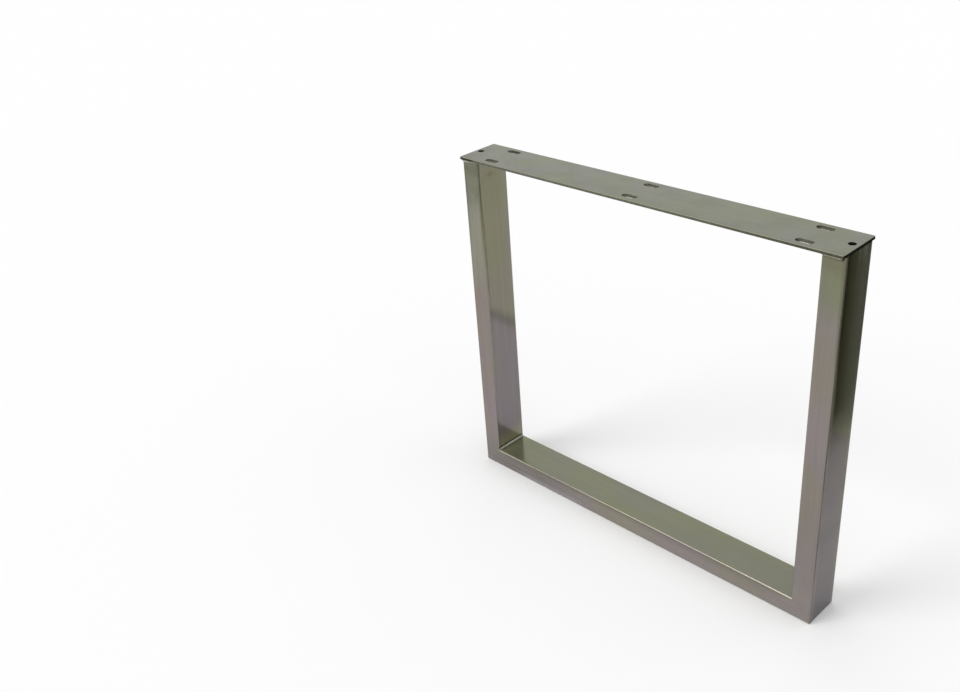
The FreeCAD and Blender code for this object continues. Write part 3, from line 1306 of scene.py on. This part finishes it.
# A fillet bead carried along a root line, where two faces meet. onto and up are the unit
# directions along the two faces, away from the root. At a share v across the bead its
# distances along them are leg times a blend of (v, 1 - v), the flat face, and of the sine and
# cosine of v quarter turns, the round one. The ripples are half sine waves along the root,
# bowed back at both toes. The bead narrows at its ends, and its hidden side is sunk into the
# metal that it joins.
def beadSkin(root, onto, up, run, look):
    shape = rippleShape
    leg = look["leg"] * (1 - look["thinning"] * thinnedAt(run, look["corners"]))
    v = np.linspace(0, 1, shape["pointsAcross"])[None, :]
    s = run[:, None]
    fromEnd = np.minimum(np.minimum(s, run[-1] - s) / look["taper"], 1.0)
    atEnd = shape["endSize"]
    narrow = atEnd + (1 - atEnd) * np.sqrt(1 - (1 - fromEnd) ** 2)
    bow = shape["bow"] * (2 * v - 1) ** 2
    phase = (s + wavesAlong(s, shape["wander"])) / look["ripplePitch"] - bow
    ripple = np.abs(np.sin(math.pi * phase)) ** shape["power"]
    swell = 1 + wavesAlong(s, shape["swell"])
    middle = np.sin(math.pi * v)
    relief = look["rippleHeight"] * (ripple - shape["middle"]) * (shape["atToes"] + middle)
    size = leg * narrow * swell * (1 + relief)
    size = np.minimum(size, leg * (1 + shape["bulge"] * middle))
    crown = look["crown"]
    alongOnto = size * ((1 - crown) * v + crown * np.sin(v * math.pi / 2))
    alongUp = size * ((1 - crown) * (1 - v) + crown * np.cos(v * math.pi / 2))
    hidden = np.full_like(s, -look["sink"])
    alongOnto = np.concatenate([alongOnto, alongOnto[:, -1:], hidden, hidden], axis=1)
    alongUp = np.concatenate([alongUp, hidden, hidden, alongUp[:, :1]], axis=1)
    crownValue = np.concatenate([ripple, np.zeros((len(run), 3))], axis=1)
    skin = root[:, None] + onto[:, None] * alongOnto[..., None] + up[:, None] * alongUp[..., None]
    return skin, crownValue


def makeBead(name, node, material, rootLine, look):
    skin, crown = beadSkin(*rootLine, look)
    rows, columns = skin.shape[:2]
    last = (rows - 1) * columns
    caps = [np.arange(columns)[::-1], last + np.arange(columns)]
    grids = [(skin, crown, True, False)]
    piece = makePiece(name, grids, "rippleCrown", material, caps, rippleShape["sharpAngle"])
    setPart(piece, node)


# The root of a plate bead: round the front, the inner face and the back of an upright, as a
# circle of the tube's corner radius carried along three sides of a smaller rectangle
def plateBeadRoot(side):
    size = tubeSize
    radius = size["cornerRadius"]
    flatX, flatY = size["narrow"] - 2 * radius, size["wide"] - 2 * radius
    bend = radius * math.pi / 2
    knots = np.cumsum([0, flatX, bend, flatY, bend, flatX])
    run = np.linspace(0, knots[-1], plateBead["rows"])
    inner, core = size["narrow"] - radius, flatY / 2
    inward = np.interp(run, knots, [radius, inner, inner, inner, inner, radius])
    y = np.interp(run, knots, [-core, -core, -core, core, core, core])
    angle = np.radians(np.interp(run, knots, [-90, -90, 0, 0, 90, 90]))
    onto = np.stack([-side * np.cos(angle), np.sin(angle), 0 * angle], axis=-1)
    x = side * (size["halfWidth"] - inward)
    root = np.stack([x, y, np.full_like(x, size["height"])], axis=-1) + onto * radius
    up = np.broadcast_to([0.0, 0.0, -1.0], root.shape)
    return root, onto, up, run


# The root of a corner bead: straight along Y in the angle between upright and rail
def cornerBeadRoot(side):
    size = tubeSize
    reach = size["wide"] / 2 - size["cornerRadius"]
    run = np.linspace(0, 2 * reach, cornerBead["rows"])
    x = np.full_like(run, side * (size["halfWidth"] - size["narrow"]))
    root = np.stack([x, run - reach, np.full_like(run, size["narrow"])], axis=-1)
    onto = np.broadcast_to([-float(side), 0.0, 0.0], root.shape)
    up = np.broadcast_to([0.0, 0.0, 1.0], root.shape)
    return root, onto, up, run


for label, side in (("left", -1), ("right", 1)):
    steel = beadSteel[label]
    node = label + "_plate_weld"
    makeBead(label + "PlateBead", node, steel, plateBeadRoot(side), plateBead)
    node = label + "_corner_weld"
    makeBead(label + "CornerBead", node, steel, cornerBeadRoot(side), cornerBead)


# Stage, light and camera

stageLook = {
    "floorColour": (0.95, 0.95, 0.95),
    "floorHalf": 40.0,
    "skyColour": (1.0, 1.0, 1.0),
    "skyLight": 0.85,
    "backdropLight": 1.0,
    "sunStrength": 0.95,
    "sunAngle": 30.0,  # degrees across, as a large soft lamp
    "sunFrom": (-0.38, -0.66, 0.65),
    # x, reach along y, reach along z, colour
    "darkCard": (0.26, (-0.05, 0.30), (0.110, 0.42), (0.020, 0.021, 0.008)),
    "greyCard": (0.26, (-0.05, 0.30), (0.0, 0.110), (0.62, 0.61, 0.62)),
}

cameraLook = {
    "place": (0.53817, -0.69043, 0.68892),
    "turn": (61.4849, 4.2046, 45.5643),  # degrees about X, Y and Z
    "lens": 39.345,
    "sensor": 36.0,
    "nearest": 0.01,
    "farthest": 200.0,
}


def plainMaterial(name, colour):
    material = bpy.data.materials.new(name)
    material.use_nodes = True
    shader = material.node_tree.nodes["Principled BSDF"]
    shader.inputs["Base Color"].default_value = opaque(colour)
    shader.inputs["Roughness"].default_value = 1.0
    shader.inputs["Specular IOR Level"].default_value = 0.0
    return material


def stagePlane(name, corners, colour):
    mesh = bpy.data.meshes.new(name)
    mesh.from_pydata(corners, [], [(0, 1, 2, 3)])
    mesh.materials.append(plainMaterial(name, colour))
    plane = bpy.data.objects.new(name, mesh)
    bpy.context.scene.collection.objects.link(plane)
    return plane


half = stageLook["floorHalf"]
floorCorners = [(-half, -half, 0), (half, -half, 0), (half, half, 0), (-half, half, 0)]
stagePlane("floor", floorCorners, stageLook["floorColour"])

# A dark card over a grey one to the right of the picture, as photographers use. They are
# there only for the right upright's outer face to mirror, and aren't seen themselves.
for name in ("darkCard", "greyCard"):
    x, (y0, y1), (z0, z1), colour = stageLook[name]
    corners = [(x, y0, z0), (x, y1, z0), (x, y1, z1), (x, y0, z1)]
    card = stagePlane(name, corners, colour)
    card.visible_camera = False
    card.visible_diffuse = False
    card.visible_shadow = False
    card.visible_transmission = False

# The world lights the part at one level, and is seen and mirrored at another
scene = bpy.context.scene
world = bpy.data.worlds.new("studio")
scene.world = world
world.use_nodes = True
sky = world.node_tree
sky.nodes.clear()
rays = addNode(sky, "ShaderNodeLightPath").outputs
seen = addMath(sky, "MAXIMUM", rays["Is Camera Ray"], rays["Is Glossy Ray"])
seen = addMath(sky, "MAXIMUM", seen, rays["Is Transmission Ray"])
lights = []
for level in ("skyLight", "backdropLight"):
    inputs = {"Color": opaque(stageLook["skyColour"]), "Strength": stageLook[level]}
    lights.append(addNode(sky, "ShaderNodeBackground", inputs).outputs[0])
choice = addNode(sky, "ShaderNodeMixShader", {0: seen, 1: lights[0], 2: lights[1]})
skyOut = addNode(sky, "ShaderNodeOutputWorld")
sky.links.new(choice.outputs[0], skyOut.inputs[0])

sun = bpy.data.lights.new("softLamp", "SUN")
sun.energy = stageLook["sunStrength"]
sun.angle = math.radians(stageLook["sunAngle"])
lamp = bpy.data.objects.new("softLamp", sun)
scene.collection.objects.link(lamp)
direction = np.array(stageLook["sunFrom"])
azimuth = math.atan2(direction[0], -direction[1])
zenith = math.acos(direction[2] / np.linalg.norm(direction))
lamp.rotation_euler = (zenith, 0.0, azimuth)

camera = bpy.data.cameras.new("photoCamera")
camera.lens = cameraLook["lens"]
camera.sensor_width = cameraLook["sensor"]
camera.clip_start = cameraLook["nearest"]
camera.clip_end = cameraLook["farthest"]
viewer = bpy.data.objects.new("photoCamera", camera)
scene.collection.objects.link(viewer)
viewer.location = cameraLook["place"]
viewer.rotation_euler = [math.radians(angle) for angle in cameraLook["turn"]]
scene.camera = viewer
scene.view_settings.view_transform = "Standard"
print("stage, light and camera set")
